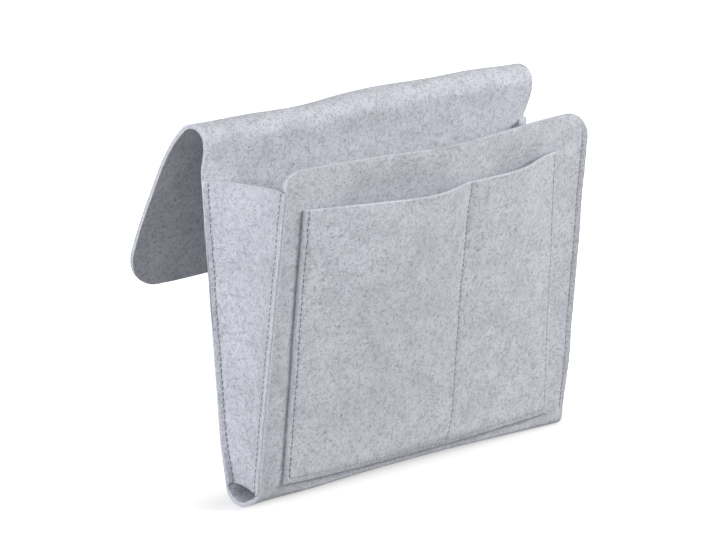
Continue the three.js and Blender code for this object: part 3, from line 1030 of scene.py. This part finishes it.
def make_gusset(word, side, seed):
    sheet, rear_column, front_column = gusset_sheet(side)
    piece = sheet.build(f"felt_gusset_{word}", seed)
    dress_felt(piece, (f"gusset_{word}",))
    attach(piece, "bag")
    widths = np.ptp(sheet.flat[..., 0], axis=1)
    panel_column = int(np.argmin(np.abs(strip_w - side * seam_w)))
    for name, column, place in (("rear", rear_column, back_place), ("front", front_column, front_place)):
        start, end = seam_ends(place)
        panel_rows = np.flatnonzero((strip_s >= start) & (strip_s <= end))
        on_gusset = face_line(sheet, 1, slice(None), column)
        on_panel = face_line(strip, -1, panel_rows, panel_column)
        make_thread(f"thread_gusset_{word}_{name}_stitches", [on_gusset, on_panel], seed * 10)


def make_pocket(seed):
    sheet, x, up = pocket_sheet()
    piece = sheet.build("felt_pocket", seed)
    dress_felt(piece, ("front_pocket",))
    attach(piece, "bag")
    seam_rows = np.flatnonzero(up >= bottom_seam)
    seams = {
        word: (seam_rows, int(np.argmin(np.abs(x - seam))))
        for word, seam in zip(("left", "divider", "right"), pocket_seams)
    }
    seams["bottom"] = (int(np.argmin(np.abs(up - bottom_seam))), np.flatnonzero(np.abs(x) <= side_seam))
    for word, (rows, columns) in seams.items():
        lines = [face_line(sheet, 1, rows, columns), behind_front(sheet, rows, columns)]
        make_thread(f"thread_pocket_{word}_stitches", lines, seed * 10)


make_camera()
make_strip()
make_gusset("left", -1, 2)
make_gusset("right", 1, 3)
make_pocket(4)


# Studio, in metres: pale floor, soft light and white surroundings

FLOOR_SIZE = 12.0
FLOOR_ALBEDO = 0.45
FLOOR_GLOW_NEAR = 0.6
FLOOR_GLOW_FAR = 0.95
FLOOR_GLOW_RUN = 0.07
WORLD_LIGHT = 0.2
WHITE = (1.0, 1.0, 1.0)
COOL_WHITE = (0.94, 0.95, 1.0)
AIM = (0, 0, 0.12)
HIGH_AIM = (0, 0, 0.2)
LAMPS = {
    "side": {"place": (-2.3, -0.25, 0.55), "target": AIM, "size": 1.2, "watts": 39, "colour": COOL_WHITE},
    "front": {"place": (1.5, -1.9, 1.4), "target": AIM, "size": 1.6, "watts": 64, "colour": WHITE},
    "top": {"place": (-0.5, -0.7, 2.3), "target": HIGH_AIM, "size": 1.2, "watts": 7, "colour": WHITE},
    "back": {"place": (1.3, 2.3, 0.8), "target": AIM, "size": 1.2, "watts": 22, "colour": WHITE},
}


def seen_directly(tree):
    """1 for rays that see a surface directly or in gloss or glass, and 0 for rays that carry light."""
    path = tree.nodes.new("ShaderNodeLightPath")
    total = path.outputs["Is Camera Ray"]
    for name in ("Is Glossy Ray", "Is Transmission Ray"):
        node = tree.nodes.new("ShaderNodeMath")
        node.operation = "MAXIMUM"
        tree.links.new(total, node.inputs[0])
        tree.links.new(path.outputs[name], node.inputs[1])
        total = node.outputs[0]
    return total


def make_floor():
    """A pale floor that shows nearly white away from the object, and keeps its shadow."""
    shader = Shader("floor")
    diffuse = shader.node("BsdfDiffuse", {"Color": (FLOOR_ALBEDO, FLOOR_ALBEDO, FLOOR_ALBEDO, 1)})
    place = shader.node("NewGeometry").outputs["Position"]
    half_base = (HALF_WIDTH * METRES, BASE_FLAT / 2 * METRES, 1.0)
    from_base = shader.vector("SUBTRACT", place, (0, base_y * METRES, 0))
    beside = shader.vector("SUBTRACT", shader.vector("ABSOLUTE", from_base), half_base)
    beside = shader.vector("MAXIMUM", beside, (0, 0, 0))
    away = shader.node("VectorMath", {0: beside}, operation="LENGTH").outputs["Value"]
    level = shader.ramp(away, 0.0, FLOOR_GLOW_RUN, FLOOR_GLOW_NEAR, FLOOR_GLOW_FAR)
    strength = shader.number("MULTIPLY", seen_directly(shader.tree), level)
    glow = shader.node("Emission", {"Color": (*WHITE, 1), "Strength": strength})
    both = shader.node("AddShader", {0: diffuse.outputs[0], 1: glow.outputs[0]})
    half = FLOOR_SIZE / 2
    corners = [(-half, -half, 0), (half, -half, 0), (half, half, 0), (-half, half, 0)]
    mesh = bpy.data.meshes.new("floor")
    mesh.from_pydata(corners, [], [(0, 1, 2, 3)])
    mesh.materials.append(shader.finish(both.outputs[0]))
    link("floor", mesh)


def make_world():
    world = bpy.data.worlds.new("studio")
    world.use_nodes = True
    tree = world.node_tree
    background = tree.nodes["Background"]
    background.inputs["Color"].default_value = (*WHITE, 1)
    level = tree.nodes.new("ShaderNodeMapRange")
    level.inputs["To Min"].default_value = WORLD_LIGHT
    level.inputs["To Max"].default_value = 1.0
    tree.links.new(seen_directly(tree), level.inputs["Value"])
    tree.links.new(level.outputs[0], background.inputs["Strength"])
    bpy.context.scene.world = world


def make_lamp(name, place, target, size, watts, colour):
    data = bpy.data.lights.new(name, "AREA")
    data.shape = "DISK"
    data.color = colour
    data.size = size
    data.energy = watts
    lamp = link(name, data)
    lamp.location = place
    lamp.rotation_euler = (Vector(target) - Vector(place)).to_track_quat("-Z", "Y").to_euler()


make_floor()
make_world()
for lamp_name, lamp_values in LAMPS.items():
    make_lamp(lamp_name, **lamp_values)
bpy.context.scene.view_settings.view_transform = "Standard"
